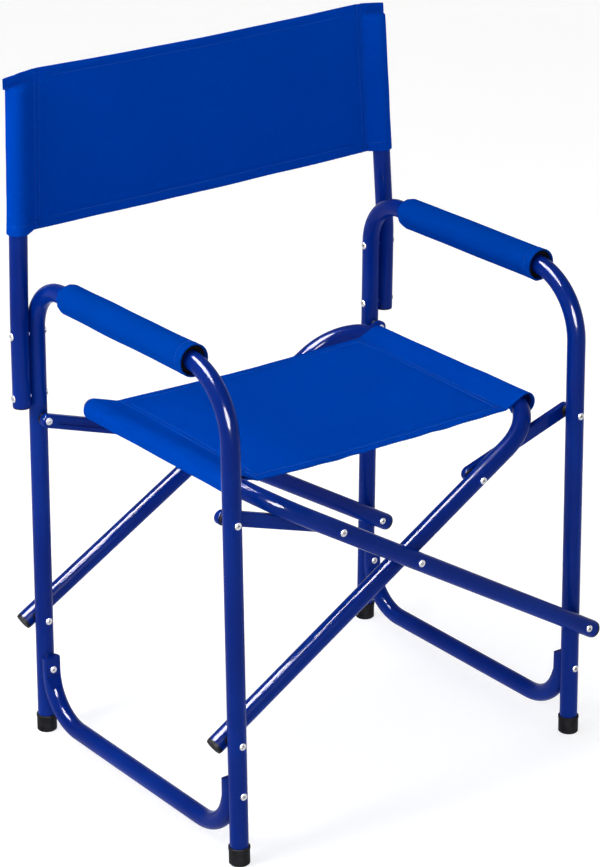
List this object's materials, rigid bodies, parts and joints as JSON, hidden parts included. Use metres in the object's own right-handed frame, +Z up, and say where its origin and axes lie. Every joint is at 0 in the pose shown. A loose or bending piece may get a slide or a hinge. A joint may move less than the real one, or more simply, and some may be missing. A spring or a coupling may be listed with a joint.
{
  "type": "folding director's chair",
  "caption": "Folding chair with tubular side frames, padded arm tubes, scissor seat tubes and a sling seat and back in woven cloth.",
  "frame": {"origin": "on the floor, at the centre of the bounding box", "axes": "+Z up, the front of the chair faces -Y, the left side frame is at -X; all hinge pins lie along Y"},
  "size_m": [0.5844, 0.4624, 0.84],
  "materials": {
    "frame": "gloss",
    "links": "satin",
    "rivets": "bright",
    "plastic": "satin",
    "foam": "matte",
    "seat_fabric": "woven",
    "back_fabric": "woven",
    "arm_fabric": "woven"
  },
  "bodies": {
    "left_frame": {"left_hoop": "frame", "left_stretcher": "frame", "left_stretcher_rivets": "rivets", "left_back_post": "frame", "left_post_plugs": "plastic", "left_post_rivets": "rivets", "left_arm_foam": "foam", "left_arm_cover": "arm_fabric", "front_left_foot": "plastic", "rear_left_foot": "plastic", "left_link_rivets": "rivets", "left_link_spacers": "plastic", "back_panel_left": "back_fabric", "left_pivot_rivets": "rivets", "left_pivot_washers": "plastic"},
    "right_rail": {"seat_tube_right": "frame", "seat_tube_right_plugs": "plastic", "seat_tube_right_link_rivets": "rivets", "seat_tube_right_link_spacers": "plastic", "seat_sling_right": "seat_fabric", "crossing_rivets": "rivets", "crossing_washers": "plastic"},
    "left_rail": {"seat_tube_left": "frame", "seat_tube_left_plugs": "plastic", "seat_tube_left_link_rivets": "rivets", "seat_tube_left_link_spacers": "plastic", "seat_sling_left": "seat_fabric", "right_pivot_rivets": "rivets", "right_pivot_washers": "plastic"},
    "right_frame": {"right_hoop": "frame", "right_stretcher": "frame", "right_stretcher_rivets": "rivets", "right_back_post": "frame", "right_post_plugs": "plastic", "right_post_rivets": "rivets", "right_arm_foam": "foam", "right_arm_cover": "arm_fabric", "front_right_foot": "plastic", "rear_right_foot": "plastic", "right_link_rivets": "rivets", "right_link_spacers": "plastic", "back_panel_right": "back_fabric"},
    "front_left_link": {"front_left_link": "links", "front_left_link_rivet": "rivets"},
    "rear_left_link": {"rear_left_link": "links", "rear_left_link_rivet": "rivets"},
    "front_right_link": {"front_right_link": "links", "front_right_link_rivet": "rivets"},
    "rear_right_link": {"rear_right_link": "links", "rear_right_link_rivet": "rivets"}
  },
  "joints": [
    {"name": "fold", "type": "hinge", "parent": "left_frame", "child": "right_rail", "pos_m": [-0.2575, 0, 0.1515], "axis": [0, -1, 0], "range_deg": [0, 44.1]},
    {"name": "crossing", "type": "hinge", "parent": "right_rail", "child": "left_rail", "pos_m": [0, 0, 0.30561], "axis": [0, -1, 0], "range_deg": [-88.2, 0], "deforming": ["seat_sling_left", "seat_sling_right"]},
    {"name": "right_frame_turn", "type": "hinge", "parent": "left_rail", "child": "right_frame", "pos_m": [0.2575, 0, 0.1515], "axis": [0, -1, 0], "range_deg": [0, 44.1], "deforming": ["back_panel_left", "back_panel_right"]},
    {"name": "front_left_link_turn", "type": "hinge", "parent": "left_frame", "child": "front_left_link", "pos_m": [-0.2575, 0, 0.41917], "axis": [0, -1, 0], "range_deg": [0, 91.14]},
    {"name": "rear_left_link_turn", "type": "hinge", "parent": "left_frame", "child": "rear_left_link", "pos_m": [-0.2575, 0, 0.41917], "axis": [0, -1, 0], "range_deg": [0, 91.14]},
    {"name": "front_right_link_turn", "type": "hinge", "parent": "right_frame", "child": "front_right_link", "pos_m": [0.2575, 0, 0.41917], "axis": [0, -1, 0], "range_deg": [-91.14, 0]},
    {"name": "rear_right_link_turn", "type": "hinge", "parent": "right_frame", "child": "rear_right_link", "pos_m": [0.2575, 0, 0.41917], "axis": [0, -1, 0], "range_deg": [-91.14, 0]}
  ],
  "couplings": [
    {"joint": "crossing", "follows": "fold", "ratio": -2},
    {"joint": "right_frame_turn", "follows": "fold", "ratio": 1},
    {"joint": "front_left_link_turn", "follows": "fold", "ratio": 2.0665},
    {"joint": "rear_left_link_turn", "follows": "fold", "ratio": 2.0665},
    {"joint": "front_right_link_turn", "follows": "fold", "ratio": -2.0665},
    {"joint": "rear_right_link_turn", "follows": "fold", "ratio": -2.0665}
  ]
}
